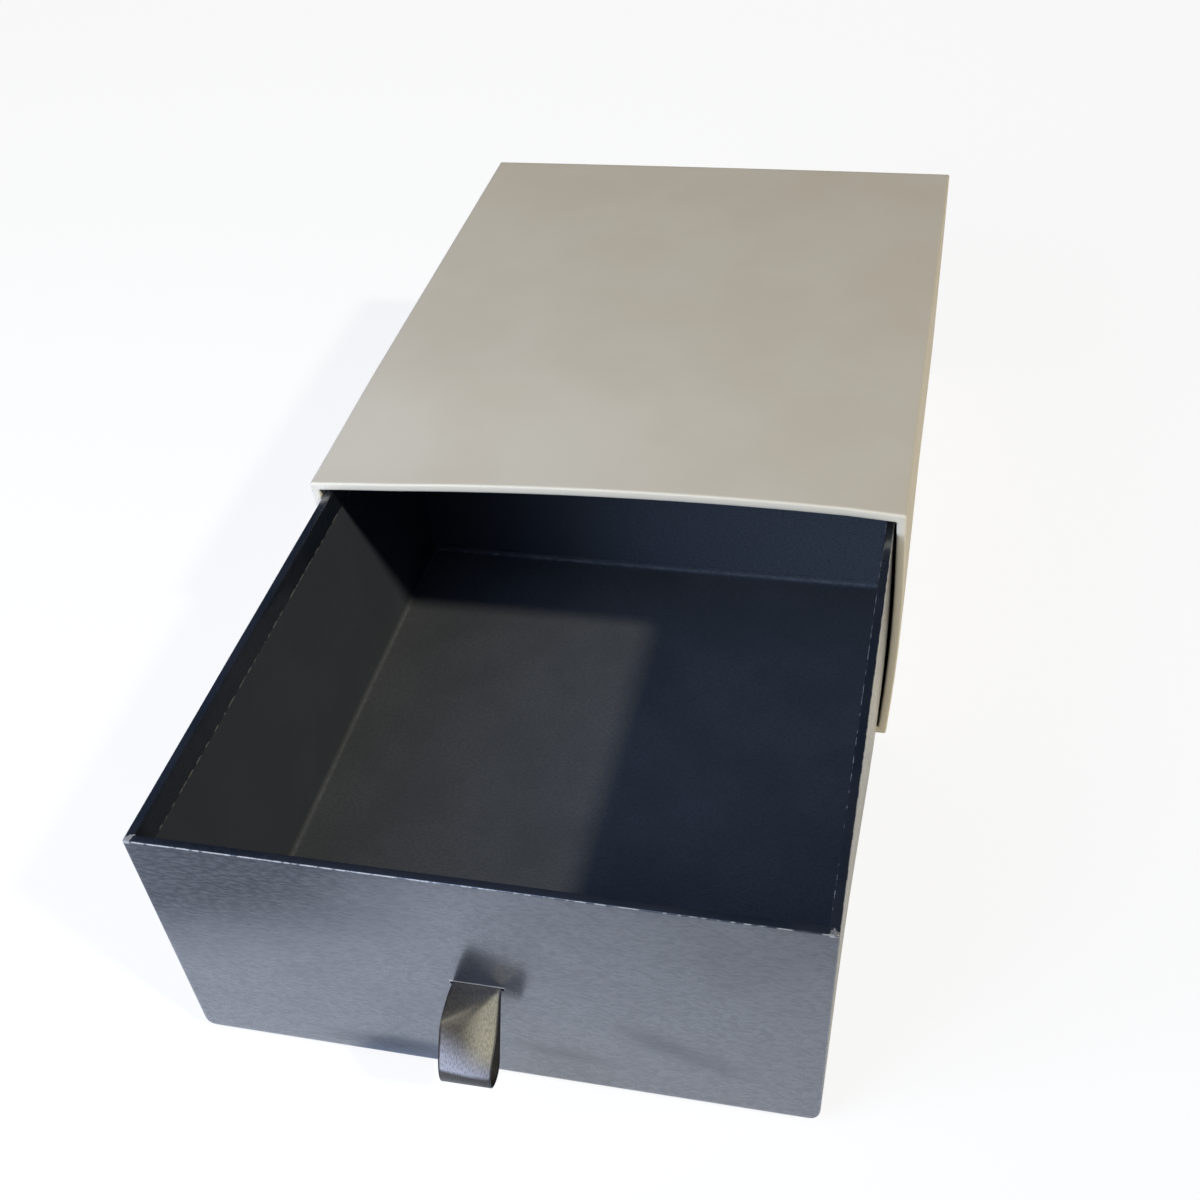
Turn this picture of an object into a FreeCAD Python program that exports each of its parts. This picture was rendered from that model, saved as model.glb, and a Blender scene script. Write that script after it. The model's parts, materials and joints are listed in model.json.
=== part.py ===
import FreeCAD, Part
import Sketcher
import math
import os

# Sliding drawer gift box: a wrapped board sleeve, open at the front, and a wrapped board drawer
# that slides out of it on a loop of ribbon.
# Millimetres, +Z up. The origin is the centre of the sleeve's underside. The drawer opens towards
# -Y, and it is drawn standing out of the sleeve by drawerOpening.

doc = FreeCAD.newDocument("DrawerGiftBox")
sheet = doc.addObject("Spreadsheet::Sheet", "Sizes")

drivingSizes = {
    # sleeve, outside
    "sleeveWidth": 210.0,
    "sleeveLength": 256.0,
    "sleeveHeight": 102.0,  # at the long edges
    "mouthCrown": 4.0,  # rise of the roof's middle at the mouth
    "backCrown": 0.3,  # what is left of that rise at the closed end
    # sheets and boards
    "sleeveBoard": 2.5,
    "drawerBoard": 2.0,
    "coverPaper": 0.15,
    "leatherette": 0.25,
    "liningPaper": 0.15,
    "patchPaper": 0.15,
    "stayTape": 0.08,
    "glueLine": 0.22,
    # laps and folds
    "sleeveTurnIn": 15.0,  # wrap folded into the mouth
    "sleeveTurnUnder": 15.0,  # wrap folded under the base
    "drawerTurnIn": 9.5,  # wrap folded over the rim
    "drawerTurnUnder": 15.0,
    "tapeLeg": 11.0,
    "sheetSeam": 0.4,  # between the edges of a sheet rolled round the inside
    # running room of the drawer in the sleeve
    "sideClearance": 0.5,
    "runClearance": 0.3,
    "headroom": 3.5,
    "backClearance": 0.5,
    "drawerOpening": 170.0,
    # ribbon pull
    "ribbonWidth": 15.0,
    "ribbonThickness": 0.4,
    "tailEndRoom": 3.0,  # from the tails' ends to the base board and to the turn-in
    "slitHeight": 45.0,  # above the drawer's underside
    "slitOffset": -2.0,  # off the middle
    "slitSideRoom": 0.75,
    "slitPlay": 0.2,
    "patchSideLap": 8.0,  # patch beyond the ribbon's edges
    "patchEndLap": 1.5,  # and beyond its ends
    "foldReach": 14.5,  # middle of the loop's fold, out from the front
    "foldDrop": 12.8,  # and down from the slit
    "foldRadius": 7.4,
    "loopRoot": 0.6,  # start of the loop, clear of the front
    "strandGap": 0.04,
}

for row, (alias, value) in enumerate(drivingSizes.items(), start=1):
    sheet.set(f"A{row}", alias)
    sheet.set(f"B{row}", str(value))
    sheet.setAlias(f"B{row}", alias)
doc.recompute()

# ---- lengths that follow from the sheet, as expressions ----

halfWidth = "(Sizes.sleeveWidth / 2)"
mouthY = "(-Sizes.sleeveLength / 2)"
backY = "(Sizes.sleeveLength / 2)"
coverDepth = "(Sizes.coverPaper + Sizes.glueLine)"
boardDepth = f"({coverDepth} + Sizes.sleeveBoard)"
sleeveWall = f"({boardDepth} + Sizes.glueLine + Sizes.liningPaper)"
boardHalf = f"({halfWidth} - {coverDepth})"
sleeveLip = f"({halfWidth} - Sizes.sleeveTurnUnder)"

drawerHalf = f"({halfWidth} - {sleeveWall} - Sizes.sideClearance)"
drawerBottom = f"({sleeveWall} + Sizes.runClearance)"
drawerTop = f"(Sizes.sleeveHeight - {sleeveWall} - Sizes.headroom)"
drawerFront = f"({mouthY} - Sizes.drawerOpening)"
drawerBack = f"({drawerFront} + Sizes.sleeveLength - {sleeveWall} - Sizes.backClearance)"
skinDepth = "(Sizes.leatherette + Sizes.glueLine)"
panelDepth = f"({skinDepth} + Sizes.drawerBoard)"
rimWall = f"({panelDepth} + {skinDepth})"
liningDepth = f"({panelDepth} + Sizes.glueLine)"
linedWall = f"({liningDepth} + Sizes.liningPaper)"
tailDepth = f"({panelDepth} + Sizes.ribbonThickness)"
patchDepth = f"({tailDepth} + Sizes.patchPaper)"
frontLiningDepth = f"({patchDepth} + Sizes.glueLine)"
liningTop = f"({drawerTop} - Sizes.drawerTurnIn)"
slitZ = f"({drawerBottom} + Sizes.slitHeight)"
tailFoot = f"({drawerBottom} + {panelDepth} + Sizes.tailEndRoom)"
tailTop = f"({liningTop} - Sizes.tailEndRoom)"
slitHalfWidth = "(Sizes.ribbonWidth / 2 + Sizes.slitSideRoom)"
slitHalfHeight = "(Sizes.ribbonThickness + Sizes.slitPlay)"
tapeRoom = "((Sizes.glueLine - Sizes.stayTape) / 2)"
seamLip = "(Sizes.sheetSeam / 2)"

nodes = []


def inset(edge, depth):
    return f"({edge} - {depth})"


def beyond(edge, depth):
    return f"({edge} + {depth})"


def minus(length):
    return f"(-{length})"


# ---- the crowned roof: arcs about one centre in each cross-section ----


def crownAt(y):
    share = f"({y} - {mouthY}) / Sizes.sleeveLength"
    return f"(Sizes.mouthCrown + (Sizes.backCrown - Sizes.mouthCrown) * {share})"


def outerRadius(y):
    return f"(({halfWidth}^2 + {crownAt(y)}^2) / (2 * {crownAt(y)}))"


def roofRadius(y, depth):
    return f"({outerRadius(y)} - {depth})"


def roofHeight(y, x, depth):
    centre = f"(Sizes.sleeveHeight + {crownAt(y)} - {outerRadius(y)})"
    return f"({centre} + sqrt({roofRadius(y, depth)}^2 - {x}^2))"


# ---- sketches and features ----


def addBody(label):
    body = doc.addObject("PartDesign::Body", label)
    body.Label = label
    nodes.append(body)
    return body


def addSketch(body, name, role, offset):
    plane = [feature for feature in body.Origin.OriginFeatures if feature.Role == role][0]
    sketch = body.newObject("Sketcher::SketchObject", name)
    sketch.AttachmentSupport = [(plane, "")]
    sketch.MapMode = "FlatFace"
    sketch.setExpression("AttachmentOffset.Base.z", offset)
    return sketch


def placeVertex(sketch, edge, end, x, y):
    for kind, expression in (("DistanceX", x), ("DistanceY", y)):
        value = sketch.evalExpression(expression)
        index = sketch.addConstraint(Sketcher.Constraint(kind, -1, 1, edge, end, value))
        sketch.setExpression(f"Constraints[{index}]", expression)


def setRadius(sketch, edge, radius):
    value = sketch.evalExpression(radius)
    index = sketch.addConstraint(Sketcher.Constraint("Radius", edge, value))
    sketch.setExpression(f"Constraints[{index}]", radius)


def upwardArc(first, second, radius):
    # an arc that rises between its ends, drawn anticlockwise from the right-hand one
    right, left = (first, second) if first.x > second.x else (second, first)
    chord = left - right
    middle = (left + right) * 0.5
    sinking = FreeCAD.Vector(-chord.y, chord.x, 0).normalize()
    centre = middle + sinking * math.sqrt(radius**2 - (chord.Length / 2) ** 2)
    angles = [math.atan2(point.y - centre.y, point.x - centre.x) for point in (right, left)]
    circle = Part.Circle(centre, FreeCAD.Vector(0, 0, 1), radius)
    return Part.ArcOfCircle(circle, angles[0], angles[1])


def drawProfile(sketch, corners, arcs=None):
    # a closed outline: every corner sits at its own pair of expressions, and an edge named in
    # arcs by the number of the corner it leaves is an upward arc of that radius
    arcs = arcs or {}
    points = [FreeCAD.Vector(sketch.evalExpression(x), sketch.evalExpression(y), 0) for x, y in corners]
    ends = []
    for number, point in enumerate(points):
        following = points[(number + 1) % len(points)]
        if number in arcs:
            radius = sketch.evalExpression(arcs[number])
            edge = sketch.addGeometry(upwardArc(point, following, radius), False)
            ends.append((edge, 1, 2) if point.x > following.x else (edge, 2, 1))
        else:
            edge = sketch.addGeometry(Part.LineSegment(point, following), False)
            ends.append((edge, 1, 2))
    for number, (edge, start, finish) in enumerate(ends):
        nextEdge, nextStart, _ = ends[(number + 1) % len(ends)]
        sketch.addConstraint(Sketcher.Constraint("Coincident", edge, finish, nextEdge, nextStart))
        placeVertex(sketch, edge, start, *corners[number])
        if number in arcs:
            setRadius(sketch, edge, arcs[number])


def rectangle(xLow, xHigh, yLow, yHigh):
    return [(xLow, yLow), (xHigh, yLow), (xHigh, yHigh), (xLow, yHigh)]


def addPad(body, name, sketch, length, backwards=False):
    pad = body.newObject("PartDesign::Pad", name)
    pad.Profile = sketch
    pad.setExpression("Length", length)
    pad.Reversed = backwards
    return pad


def addPocket(body, name, sketch, length, backwards=False):
    doc.recompute()
    before = body.Shape.Volume
    pocket = body.newObject("PartDesign::Pocket", name)
    pocket.Profile = sketch
    pocket.setExpression("Length", length)
    pocket.Reversed = backwards
    doc.recompute()
    if not pocket.Shape.Volume < before:
        raise RuntimeError(f"{body.Label}: {name} cuts nothing")
    return pocket


def addLoft(body, name, sections):
    loft = body.newObject("PartDesign::AdditiveLoft", name)
    loft.Profile = sections[0]
    loft.Sections = sections[1:]
    loft.Ruled = True
    return loft


def addPanel(label, x, y, z):
    # a flat cut sheet, square to the axes, from its lowest to its highest corner
    panel = doc.addObject("Part::Box", label)
    panel.Label = label
    for side, axis, (low, high) in zip(("Length", "Width", "Height"), "xyz", (x, y, z)):
        panel.setExpression(side, f"{high} - {low}")
        panel.setExpression(f"Placement.Base.{axis}", low)
    nodes.append(panel)
    return panel


# ---- sleeve: five boards ----


def sleeveBoards():
    front = beyond(mouthY, coverDepth)
    back = inset(backY, coverDepth)
    sideTop = inset("Sizes.sleeveHeight", boardDepth)
    innerHalf = inset(boardHalf, "Sizes.sleeveBoard")

    addPanel("sleeve_bottom_board", (minus(boardHalf), boardHalf), (front, back), (coverDepth, boardDepth))
    addPanel("sleeve_left_board", (minus(boardHalf), minus(innerHalf)), (front, back), (boardDepth, sideTop))
    addPanel("sleeve_right_board", (innerHalf, boardHalf), (front, back), (boardDepth, sideTop))
    addPanel(
        "sleeve_back_board",
        (minus(innerHalf), innerHalf),
        (inset(back, "Sizes.sleeveBoard"), back),
        (boardDepth, sideTop),
    )

    roof = addBody("sleeve_top_board")
    sections = []
    for name, y in (("mouthSection", front), ("backSection", back)):
        sketch = addSketch(roof, name, "XZ_Plane", minus(y))
        top = roofHeight(y, boardHalf, coverDepth)
        bottom = roofHeight(y, boardHalf, boardDepth)
        corners = [(minus(boardHalf), top), (boardHalf, top), (boardHalf, bottom), (minus(boardHalf), bottom)]
        drawProfile(sketch, corners, {0: roofRadius(y, coverDepth), 2: roofRadius(y, boardDepth)})
        sections.append(sketch)
    addLoft(roof, "bowedBoard", sections)


# ---- sleeve: papers ----


def wrapSection(body, name, y, depth, thickness, lip):
    # one sheet seen end on: up both sides, over the roof and folded under to the two lips
    outer = inset(halfWidth, depth)
    inner = inset(outer, thickness)
    innerDepth = beyond(depth, thickness)
    outerTop = roofHeight(y, outer, depth)
    innerTop = roofHeight(y, inner, innerDepth)
    corners = [
        (minus(lip), depth),
        (minus(outer), depth),
        (minus(outer), outerTop),
        (outer, outerTop),
        (outer, depth),
        (lip, depth),
        (lip, innerDepth),
        (inner, innerDepth),
        (inner, innerTop),
        (minus(inner), innerTop),
        (minus(inner), innerDepth),
        (minus(lip), innerDepth),
    ]
    sketch = addSketch(body, name, "XZ_Plane", minus(y))
    drawProfile(sketch, corners, {2: roofRadius(y, depth), 8: roofRadius(y, innerDepth)})
    return sketch


def sleeveCover():
    body = addBody("sleeve_cover_paper")
    paper = "Sizes.coverPaper"
    turnInDepth = inset(sleeveWall, paper)
    turnInEnd = beyond(mouthY, "Sizes.sleeveTurnIn")
    outside = [
        wrapSection(body, "outsideMouth", mouthY, "0", paper, sleeveLip),
        wrapSection(body, "outsideBack", backY, "0", paper, sleeveLip),
    ]
    addLoft(body, "outside", outside)
    turnIn = [
        wrapSection(body, "turnInMouth", mouthY, turnInDepth, paper, seamLip),
        wrapSection(body, "turnInEnd", turnInEnd, turnInDepth, paper, seamLip),
    ]
    # the fold over the boards' front edges joins the outside to the turn-in
    fold = wrapSection(body, "mouthFold", mouthY, "(Sizes.coverPaper / 2)", inset(sleeveWall, paper), seamLip)
    addPad(body, "fold", fold, paper, backwards=True)
    addLoft(body, "turnIn", turnIn)


def sleeveFlatPapers():
    # the sheet under the base lies between the cover's two turn-unders
    paper = "Sizes.coverPaper"
    run = (beyond(mouthY, paper), backY)
    addPanel("sleeve_base_paper", (minus(sleeveLip), sleeveLip), run, ("0", paper))

    half = inset(halfWidth, paper)
    height = (paper, inset("Sizes.sleeveHeight", paper))
    addPanel("sleeve_back_paper", (minus(half), half), (inset(backY, paper), backY), height)


def sleeveLinings():
    boardFace = inset(backY, boardDepth)
    start = beyond(mouthY, "Sizes.sleeveTurnIn")
    depth = inset(sleeveWall, "Sizes.liningPaper")
    body = addBody("sleeve_lining")
    sections = [
        wrapSection(body, name, y, depth, "Sizes.liningPaper", seamLip)
        for name, y in (("frontSection", start), ("backSection", boardFace))
    ]
    addLoft(body, "rolledSheet", sections)

    half = inset(halfWidth, sleeveWall)
    face = inset(backY, sleeveWall)
    top = inset("Sizes.sleeveHeight", sleeveWall)
    depthRange = (face, beyond(face, "Sizes.liningPaper"))
    addPanel("sleeve_back_lining", (minus(half), half), depthRange, (sleeveWall, top))


def sleeveTapes():
    # stay tape over the two long base joints, in the glue line between the boards and the cover;
    # the crowned roof board is glued down last and held by the cover alone
    depth = f"(Sizes.coverPaper + {tapeRoom})"
    innerDepth = beyond(depth, "Sizes.stayTape")
    outer = inset(halfWidth, depth)
    inner = inset(outer, "Sizes.stayTape")
    legEnd = inset(outer, "Sizes.tapeLeg")
    front = beyond(mouthY, coverDepth)
    back = inset(backY, coverDepth)
    corners = [
        (outer, "Sizes.tapeLeg"),
        (outer, depth),
        (legEnd, depth),
        (legEnd, innerDepth),
        (inner, innerDepth),
        (inner, "Sizes.tapeLeg"),
    ]
    for side, sign in (("left", "-1"), ("right", "1")):
        tape = addBody(f"sleeve_tape_{side}")
        sketch = addSketch(tape, "section", "XZ_Plane", minus(front))
        drawProfile(sketch, [(f"({sign} * {x})", z) for x, z in corners])
        addPad(tape, "foldedTape", sketch, f"{back} - {front}", backwards=True)


# ---- drawer: five boards ----


def drawerBoards():
    half = inset(drawerHalf, skinDepth)
    front = beyond(drawerFront, skinDepth)
    back = inset(drawerBack, skinDepth)
    floor = beyond(drawerBottom, skinDepth)
    wallFoot = beyond(drawerBottom, panelDepth)
    wallTop = inset(drawerTop, skinDepth)
    innerHalf = inset(half, "Sizes.drawerBoard")
    sideRun = (beyond(front, "Sizes.drawerBoard"), inset(back, "Sizes.drawerBoard"))

    addPanel("drawer_base_board", (minus(half), half), (front, back), (floor, wallFoot))
    addPanel("drawer_left_board", (minus(half), minus(innerHalf)), sideRun, (wallFoot, wallTop))
    addPanel("drawer_right_board", (innerHalf, half), sideRun, (wallFoot, wallTop))
    addPanel("drawer_back_board", (minus(half), half), (sideRun[1], back), (wallFoot, wallTop))

    body = addBody("drawer_front_board")
    sketch = addSketch(body, "panelWithSlit", "XZ_Plane", minus(front))
    drawProfile(sketch, rectangle(minus(half), half, wallFoot, wallTop))
    drawProfile(sketch, slitOutline())
    addPad(body, "slottedPanel", sketch, "Sizes.drawerBoard", backwards=True)


def slitOutline():
    return rectangle(
        inset("Sizes.slitOffset", slitHalfWidth),
        beyond("Sizes.slitOffset", slitHalfWidth),
        inset(slitZ, slitHalfHeight),
        beyond(slitZ, slitHalfHeight),
    )


# ---- drawer: papers ----


def trayOutline(depth, frontDepth=None):
    frontEdge = beyond(drawerFront, frontDepth or depth)
    half = inset(drawerHalf, depth)
    return rectangle(minus(half), half, frontEdge, inset(drawerBack, depth))


def drawerWrap():
    # one skin: under the base's edge, up the walls, over the rim and down inside by the turn-in
    body = addBody("drawer_wrap")
    skin = "Sizes.leatherette"
    turnInFace = inset(rimWall, skin)

    block = addSketch(body, "footprint", "XY_Plane", drawerBottom)
    drawProfile(block, trayOutline("0"))
    addPad(body, "block", block, f"{drawerTop} - {drawerBottom}")

    core = addSketch(body, "coreOutline", "XY_Plane", drawerBottom)
    drawProfile(core, trayOutline("Sizes.drawerTurnUnder"))
    addPocket(body, "core", core, f"{drawerTop} - {drawerBottom}", backwards=True)

    mouth = addSketch(body, "mouthOutline", "XY_Plane", liningTop)
    drawProfile(mouth, trayOutline(rimWall))
    addPocket(body, "mouth", mouth, "Sizes.drawerTurnIn", backwards=True)

    lower = addSketch(body, "lowerOutline", "XY_Plane", beyond(drawerBottom, skin))
    drawProfile(lower, trayOutline(skin))
    addPocket(body, "lowerWalls", lower, f"{liningTop} - {drawerBottom} - {skin}", backwards=True)

    upper = addSketch(body, "rimOutline", "XY_Plane", liningTop)
    drawProfile(upper, trayOutline(skin))
    drawProfile(upper, trayOutline(turnInFace))
    addPocket(body, "rimSpace", upper, f"Sizes.drawerTurnIn - {skin}", backwards=True)

    slit = addSketch(body, "slitOutline", "XZ_Plane", minus(drawerFront))
    drawProfile(slit, slitOutline())
    addPocket(body, "slit", slit, skinDepth)


def drawerBasePaper():
    half = inset(drawerHalf, "Sizes.drawerTurnUnder")
    run = (beyond(drawerFront, "Sizes.drawerTurnUnder"), inset(drawerBack, "Sizes.drawerTurnUnder"))
    height = (drawerBottom, beyond(drawerBottom, "Sizes.leatherette"))
    addPanel("drawer_base_paper", (minus(half), half), run, height)


def drawerLinings():
    floor = beyond(drawerBottom, liningDepth)
    frontFace = beyond(frontLiningDepth, "Sizes.liningPaper")
    body = addBody("drawer_wall_lining")
    sketch = addSketch(body, "wallOutline", "XY_Plane", floor)
    drawProfile(sketch, trayOutline(liningDepth, frontLiningDepth))
    drawProfile(sketch, trayOutline(linedWall, frontFace))
    addPad(body, "wallSheet", sketch, f"{liningTop} - {floor}")

    half = inset(drawerHalf, linedWall)
    run = (beyond(drawerFront, frontFace), inset(drawerBack, linedWall))
    addPanel("drawer_floor_lining", (minus(half), half), run, (floor, beyond(floor, "Sizes.liningPaper")))


def drawerTapes():
    depth = f"(Sizes.leatherette + {tapeRoom})"
    innerDepth = beyond(depth, "Sizes.stayTape")
    foot = beyond(drawerBottom, skinDepth)
    for end, edge, inwards in (("front", drawerFront, "1"), ("back", drawerBack, "-1")):
        for side, sign in (("left", "-1"), ("right", "1")):
            tape = addBody(f"drawer_tape_{end}_{side}")
            xOuter = f"({sign} * {inset(drawerHalf, depth)})"
            xInner = f"({sign} * {inset(drawerHalf, innerDepth)})"
            xEnd = f"({sign} * ({drawerHalf} - {depth} - Sizes.tapeLeg))"
            yOuter = f"({edge} + {inwards} * {depth})"
            yInner = f"({edge} + {inwards} * {innerDepth})"
            yEnd = f"({edge} + {inwards} * ({depth} + Sizes.tapeLeg))"
            corners = [
                (xOuter, yOuter),
                (xEnd, yOuter),
                (xEnd, yInner),
                (xInner, yInner),
                (xInner, yEnd),
                (xOuter, yEnd),
            ]
            sketch = addSketch(tape, "section", "XY_Plane", foot)
            drawProfile(sketch, corners)
            addPad(tape, "foldedTape", sketch, f"{drawerTop} - {skinDepth} - {foot}")


# ---- ribbon pull ----


def ribbonTails():
    # both ends pass the slit pressed together, then spread up and down the inside of the front
    body = addBody("ribbon_tails")
    face = beyond(drawerFront, panelDepth)
    spread = beyond(drawerFront, tailDepth)
    low, high = inset(slitZ, "Sizes.ribbonThickness"), beyond(slitZ, "Sizes.ribbonThickness")
    corners = [
        (drawerFront, low),
        (face, low),
        (face, tailFoot),
        (spread, tailFoot),
        (spread, tailTop),
        (face, tailTop),
        (face, high),
        (drawerFront, high),
    ]
    sketch = addSketch(body, "tailProfile", "YZ_Plane", "(Sizes.slitOffset - Sizes.ribbonWidth / 2)")
    drawProfile(sketch, corners)
    addPad(body, "spreadTails", sketch, "Sizes.ribbonWidth")


def ribbonPatch():
    reach = "(Sizes.ribbonWidth / 2 + Sizes.patchSideLap)"
    addPanel(
        "ribbon_patch",
        (inset("Sizes.slitOffset", reach), beyond("Sizes.slitOffset", reach)),
        (beyond(drawerFront, tailDepth), beyond(drawerFront, patchDepth)),
        (inset(tailFoot, "Sizes.patchEndLap"), beyond(tailTop, "Sizes.patchEndLap")),
    )


def ribbonPath(body):
    # straight from the slit to a round fold, and straight back to the slit
    path = addSketch(body, "ribbonPath", "YZ_Plane", "Sizes.slitOffset")
    strand = "((Sizes.ribbonThickness + Sizes.strandGap) / 2)"
    root = inset(drawerFront, "Sizes.loopRoot")
    foldY = inset(drawerFront, "Sizes.foldReach")
    foldZ = inset(slitZ, "Sizes.foldDrop")
    strandHeights = (beyond(slitZ, strand), inset(slitZ, strand))

    value = path.evalExpression
    centre = FreeCAD.Vector(value(foldY), value(foldZ), 0)
    radius = value("Sizes.foldRadius")
    starts = [FreeCAD.Vector(value(root), value(height), 0) for height in strandHeights]
    angles = []
    for start, turn in zip(starts, (1, -1)):
        towards = math.atan2(start.y - centre.y, start.x - centre.x)
        angles.append(towards + turn * math.acos(radius / (start - centre).Length))
    touches = [centre + FreeCAD.Vector(math.cos(angle), math.sin(angle), 0) * radius for angle in angles]

    upper = path.addGeometry(Part.LineSegment(starts[0], touches[0]), False)
    circle = Part.Circle(centre, FreeCAD.Vector(0, 0, 1), radius)
    fold = path.addGeometry(Part.ArcOfCircle(circle, angles[0], angles[1] + 2 * math.pi), False)
    lower = path.addGeometry(Part.LineSegment(touches[1], starts[1]), False)
    placeVertex(path, upper, 1, root, strandHeights[0])
    placeVertex(path, lower, 2, root, strandHeights[1])
    placeVertex(path, fold, 3, foldY, foldZ)
    setRadius(path, fold, "Sizes.foldRadius")
    path.addConstraint(Sketcher.Constraint("Tangent", upper, 2, fold, 1))
    path.addConstraint(Sketcher.Constraint("Tangent", fold, 2, lower, 1))
    return path


def ribbonLoop():
    body = addBody("ribbon_pull_loop")
    path = ribbonPath(body)
    doc.recompute()
    section = body.newObject("Sketcher::SketchObject", "ribbonSection")
    section.AttachmentSupport = [(path, "Edge1")]
    section.MapMode = "NormalToEdge"
    halfRibbon = "(Sizes.ribbonWidth / 2)"
    halfThickness = "(Sizes.ribbonThickness / 2)"
    drawProfile(section, rectangle(minus(halfRibbon), halfRibbon, minus(halfThickness), halfThickness))
    sweep = body.newObject("PartDesign::AdditivePipe", "sweptRibbon")
    sweep.Profile = section
    sweep.Spine = (path, ["Edge1", "Edge2", "Edge3"])


# ---- build, check and write ----


def build():
    sleeveBoards()
    sleeveCover()
    sleeveFlatPapers()
    sleeveLinings()
    sleeveTapes()
    drawerBoards()
    drawerWrap()
    drawerBasePaper()
    drawerLinings()
    drawerTapes()
    ribbonTails()
    ribbonPatch()
    ribbonLoop()
    doc.recompute()


def check():
    for feature in doc.Objects:
        if "Invalid" in feature.State or "Error" in feature.State:
            raise RuntimeError(f"{feature.Name} did not build: {feature.State}")
    for node in nodes:
        shape = node.Shape
        if shape.isNull() or not shape.isValid() or len(shape.Solids) != 1:
            raise RuntimeError(f"{node.Label} is not one whole solid")


def write():
    os.makedirs("parts", exist_ok=True)
    for node in nodes:
        node.Shape.exportStep(f"parts/{node.Label}.step")
        print(f"{node.Label}: {node.Shape.Volume:.1f} mm3")


build()
check()
write()
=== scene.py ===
import json
import math

import bpy
from mathutils import Matrix, Vector, noise


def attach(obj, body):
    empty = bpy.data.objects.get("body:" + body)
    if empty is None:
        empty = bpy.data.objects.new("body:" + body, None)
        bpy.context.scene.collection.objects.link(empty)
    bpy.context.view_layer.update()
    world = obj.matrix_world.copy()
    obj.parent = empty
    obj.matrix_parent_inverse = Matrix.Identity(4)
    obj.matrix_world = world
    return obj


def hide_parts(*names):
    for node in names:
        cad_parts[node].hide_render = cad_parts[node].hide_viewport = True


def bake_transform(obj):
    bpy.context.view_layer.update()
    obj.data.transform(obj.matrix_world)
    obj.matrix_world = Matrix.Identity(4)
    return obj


# Drawer gift box: a taupe paper sleeve, a dark leatherette drawer with a black paper lining,
# and a satin ribbon to pull it by. X runs across the box, Y from its front to its back and Z up.
# Lengths are in millimetres and turned to metres where used.

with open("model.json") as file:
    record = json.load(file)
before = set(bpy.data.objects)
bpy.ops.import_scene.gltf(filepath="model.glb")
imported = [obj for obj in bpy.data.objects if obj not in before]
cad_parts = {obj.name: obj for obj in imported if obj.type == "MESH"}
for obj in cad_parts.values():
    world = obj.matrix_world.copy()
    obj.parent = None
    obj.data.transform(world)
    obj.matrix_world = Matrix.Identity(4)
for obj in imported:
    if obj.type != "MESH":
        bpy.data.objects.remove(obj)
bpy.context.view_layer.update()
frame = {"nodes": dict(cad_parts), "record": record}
nodes = frame["nodes"]
mm = 0.001
facing = 0.9  # a face whose normal has this much along an axis faces that way
touch = 0.01  # what is nearer than this to a plane lies on it
weld = 0.004  # corners nearer than this become one
arcEdge = 1.1  # the edges that a rounded fold is made of are shorter than this


def linear(hexColour):
    # sRGB hex to the linear colour that the shaders use
    parts = [int(hexColour[i:i + 2], 16) / 255 for i in (1, 3, 5)]
    return [c / 12.92 if c <= 0.04045 else ((c + 0.055) / 1.055) ** 2.4 for c in parts] + [1.0]


def smooth(low, high, value):
    # 0 up to low, 1 from high on, and eased between them
    share = min(max((value - low) / (high - low), 0.0), 1.0)
    return share * share * (3 - 2 * share)


def startBox(name, low, high):
    # a cube primitive at its size and place, its place in its mesh
    bpy.ops.object.select_all(action="DESELECT")
    centre = [(a + b) / 2 * mm for a, b in zip(low, high)]
    size = [(b - a) * mm for a, b in zip(low, high)]
    bpy.ops.mesh.primitive_cube_add(size=1, location=centre, scale=size)
    piece = bpy.context.object
    bpy.ops.object.transform_apply(location=True, rotation=True, scale=True)
    piece.name = piece.data.name = name
    return piece


def pick(piece, kind, wanted):
    # goes to edit mode with just the corners, edges or faces that wanted() says yes to
    if piece.mode == "EDIT":
        bpy.ops.object.mode_set(mode="OBJECT")
    bpy.context.tool_settings.mesh_select_mode = [kind == name for name in ("VERT", "EDGE", "FACE")]
    mesh = piece.data
    for items in (mesh.vertices, mesh.edges, mesh.polygons):
        items.foreach_set("select", [False] * len(items))
    for item in {"VERT": mesh.vertices, "EDGE": mesh.edges, "FACE": mesh.polygons}[kind]:
        if kind == "VERT":
            item.select = wanted(item.co / mm)
            continue
        ends = [mesh.vertices[i].co / mm for i in item.vertices]
        middle = sum(ends, Vector()) / len(ends)
        item.select = wanted(middle, item.normal if kind == "FACE" else ends[1] - ends[0])
        if item.select:
            for i in item.vertices:
                mesh.vertices[i].select = True
    bpy.ops.object.mode_set(mode="EDIT")


def cutAcross(piece, axis, spots):
    # straight cuts right through, where the surface needs corners to bend at
    pick(piece, "FACE", lambda middle, normal: True)
    for spot in spots:
        bpy.ops.mesh.select_all(action="SELECT")
        point = [spot * mm if i == axis else 0 for i in range(3)]
        bpy.ops.mesh.bisect(plane_co=point, plane_no=[float(i == axis) for i in range(3)])


def roundEdges(piece, radius, wanted, segments=3):
    pick(piece, "EDGE", wanted)
    bpy.ops.mesh.bevel(offset=radius * mm, segments=segments, profile=0.5, affect="EDGES")


def foldIn(piece, wanted, wall, halves, centre, depth):
    # the open edge is turned in over the board's thickness, then on down its inner side
    pick(piece, "EDGE", wanted)
    bpy.ops.mesh.extrude_edges_move()
    scale = [1 if half is None else (half - wall) / half for half in halves]
    bpy.ops.transform.resize(value=scale, center_override=[c * mm for c in centre])
    bpy.ops.mesh.extrude_edges_move(TRANSFORM_OT_translate={"value": [d * mm for d in depth]})


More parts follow.
